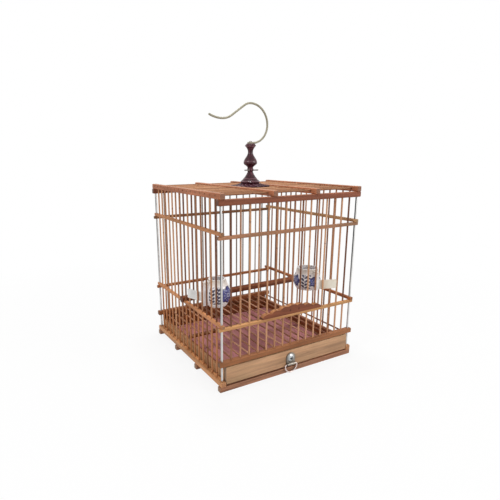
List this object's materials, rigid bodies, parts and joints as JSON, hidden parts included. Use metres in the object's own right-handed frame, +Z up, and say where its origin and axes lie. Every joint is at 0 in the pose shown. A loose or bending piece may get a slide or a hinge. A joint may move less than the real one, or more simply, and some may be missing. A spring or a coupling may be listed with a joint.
{
  "type": "bird cage",
  "caption": "Square wooden bird cage of stacked bars and thin sticks, with a lift-up door, a pull-out tray, porcelain cups, a perch and a swivelling hanging hook.",
  "frame": {"origin": "middle of the cage's footprint, on the surface that its bottom bars stand on", "axes": "+X to the right along the drawer front, +Y from the drawer front to the back, +Z up"},
  "size_m": [0.2164, 0.2128, 0.3493],
  "materials": {
    "bar_wood": "satin",
    "red_wood": "satin",
    "stick_wood": "satin",
    "dark_wood": "satin",
    "drawer_wood": "satin",
    "tray_board": "matte",
    "finial_wood": "gloss",
    "steel": "bright",
    "grey_metal": "satin",
    "hook_brass": "bright",
    "porcelain": "gloss",
    "ivory_plastic": "gloss"
  },
  "bodies": {
    "cage": {"bottom_front_bar": "red_wood", "bottom_front_runner": "red_wood", "bottom_left_rail": "bar_wood", "bottom_rear_bar": "red_wood", "bottom_rear_runner": "red_wood", "bottom_right_rail": "bar_wood", "corner_rods": "steel", "finial_base": "finial_wood", "floor_cross_strip": "dark_wood", "floor_front_bar": "bar_wood", "floor_rear_bar": "bar_wood", "floor_sticks": "stick_wood", "front_left_sticks": "stick_wood", "front_right_sticks": "stick_wood", "left_cup": "porcelain", "left_cup_clip": "ivory_plastic", "left_wall_sticks": "stick_wood", "lower_ring_front_bar": "bar_wood", "lower_ring_left_bar": "bar_wood", "lower_ring_rear_bar": "bar_wood", "lower_ring_right_bar": "bar_wood", "perch": "dark_wood", "rear_board": "dark_wood", "rear_wall_sticks": "stick_wood", "right_cup": "porcelain", "right_cup_clip": "ivory_plastic", "right_wall_sticks": "stick_wood", "roof_left_bar": "bar_wood", "roof_middle_left_bar": "bar_wood", "roof_middle_right_bar": "bar_wood", "roof_right_bar": "bar_wood", "roof_rosette": "finial_wood", "roof_sticks": "stick_wood", "swivel_pin": "grey_metal", "top_front_bar": "red_wood", "top_rear_bar": "red_wood", "under_door_sticks": "stick_wood", "upper_ring_front_bar": "bar_wood", "upper_ring_left_bar": "bar_wood", "upper_ring_rear_bar": "bar_wood", "upper_ring_right_bar": "bar_wood"},
    "drawer": {"drawer_front": "drawer_wood", "drawer_bottom": "tray_board", "drawer_left_side": "drawer_wood", "drawer_right_side": "drawer_wood", "drawer_back": "drawer_wood", "hanger_strap": "steel", "hanger_screw": "steel"},
    "pull_ring": {"pull_ring": "steel"},
    "door": {"door_sill": "dark_wood", "door_sticks": "stick_wood"},
    "hook": {"finial_spindle": "finial_wood", "cross_pin": "grey_metal", "hook_wire": "hook_brass"}
  },
  "joints": [
    {"name": "drawer_slide", "type": "slide", "parent": "cage", "child": "drawer", "axis": [0, -1, 0], "range_m": [0, 0.17]},
    {"name": "pull_ring_swing", "type": "hinge", "parent": "drawer", "child": "pull_ring", "pos_m": [-0.0015, -0.10588, 0.0126], "axis": [-1, 0, 0], "range_deg": [0, 110]},
    {"name": "door_lift", "type": "slide", "parent": "cage", "child": "door", "axis": [0, 0, 1], "range_m": [0, 0.085]},
    {"name": "hook_swivel", "type": "hinge", "parent": "cage", "child": "hook", "pos_m": [0, 0, 0.278], "axis": [0, 0, 1], "continuous": true}
  ]
}
